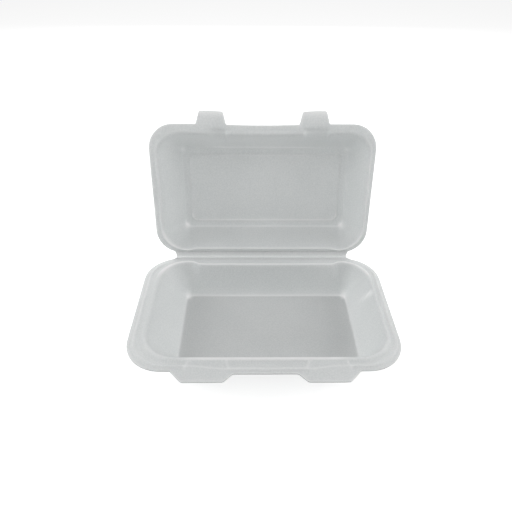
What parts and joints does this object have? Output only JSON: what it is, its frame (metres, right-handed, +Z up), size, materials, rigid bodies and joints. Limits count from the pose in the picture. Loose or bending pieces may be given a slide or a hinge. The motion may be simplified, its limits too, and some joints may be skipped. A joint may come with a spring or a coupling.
{
  "type": "foam clamshell container",
  "caption": "Open hinged foam food container: a rounded tray and a leaning lid moulded from one sheet, with a thin web hinge and wide pull tabs at the front.",
  "frame": {"origin": "on the flat underside of the tray, below the middle of its rim", "axes": "+Z up, +X along the hinge, +Y from the pull tabs towards the hinge and the raised lid"},
  "size_m": [0.235, 0.2188, 0.1818],
  "materials": {
    "tray_foam": "satin moulded foam skin",
    "lid_foam": "satin moulded foam skin"
  },
  "bodies": {
    "tray": {"tray": "tray_foam"},
    "lid": {"lid": "lid_foam"}
  },
  "joints": [
    {"name": "lid_hinge", "type": "hinge", "parent": "tray", "child": "lid", "pos_m": [0, 0.07625, 0.0385], "axis": [1, 0, 0], "range_deg": [-77.2, 102.8]}
  ]
}
